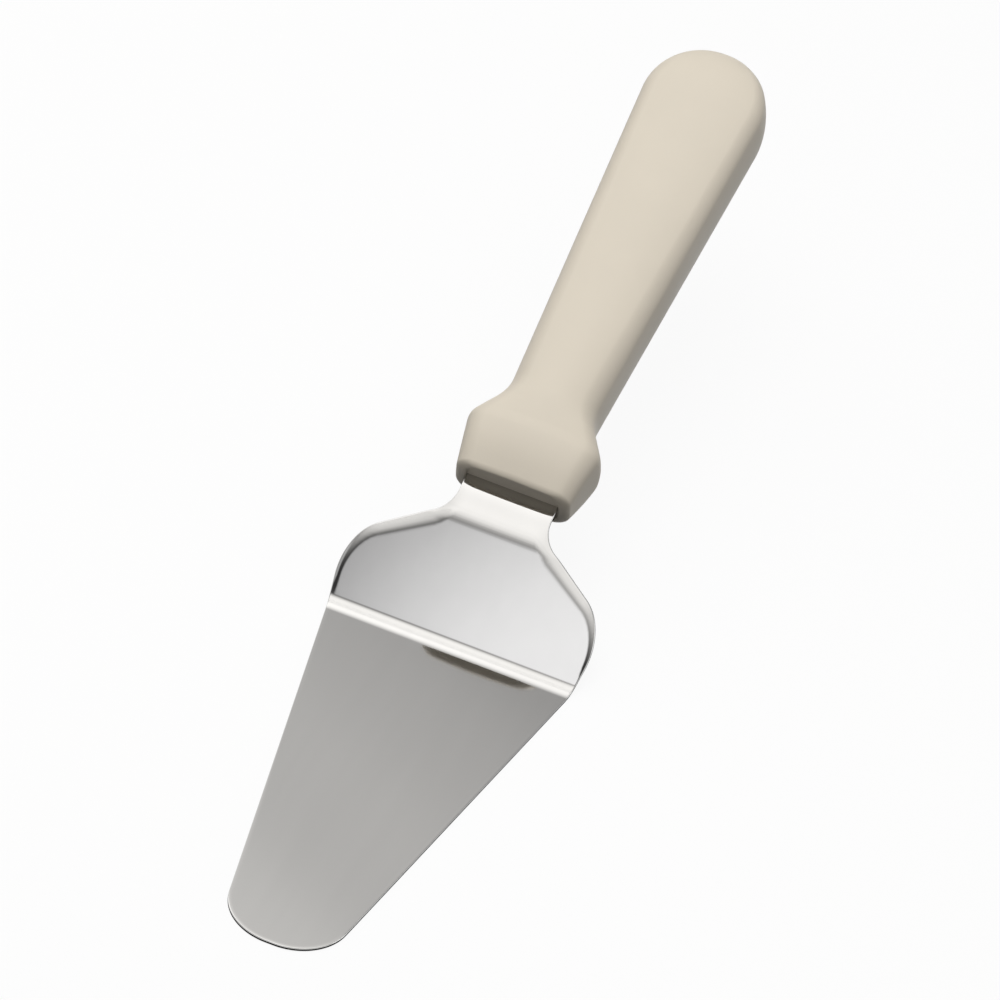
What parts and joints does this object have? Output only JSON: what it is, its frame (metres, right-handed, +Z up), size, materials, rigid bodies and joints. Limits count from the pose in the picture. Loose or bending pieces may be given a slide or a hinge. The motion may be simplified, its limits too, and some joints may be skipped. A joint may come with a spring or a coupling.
{
  "type": "cake server",
  "caption": "Cake server: a flat tapered blade that rises through a bent neck, pressed from sheet steel, with a moulded handle that flares into a finger guard.",
  "frame": {"origin": "middle of the underside of the flat blade, halfway between the tip and the heel bend", "axes": "+Y along the server from the tip to the handle, +X across the blade, +Z up from the blade's flat"},
  "size_m": [0.0628, 0.2682, 0.0689],
  "materials": {
    "steel": "mirror polished stainless steel",
    "resin": "satin cream moulded resin"
  },
  "bodies": {
    "root": {"blade": "steel", "handle": "resin"}
  },
  "joints": []
}
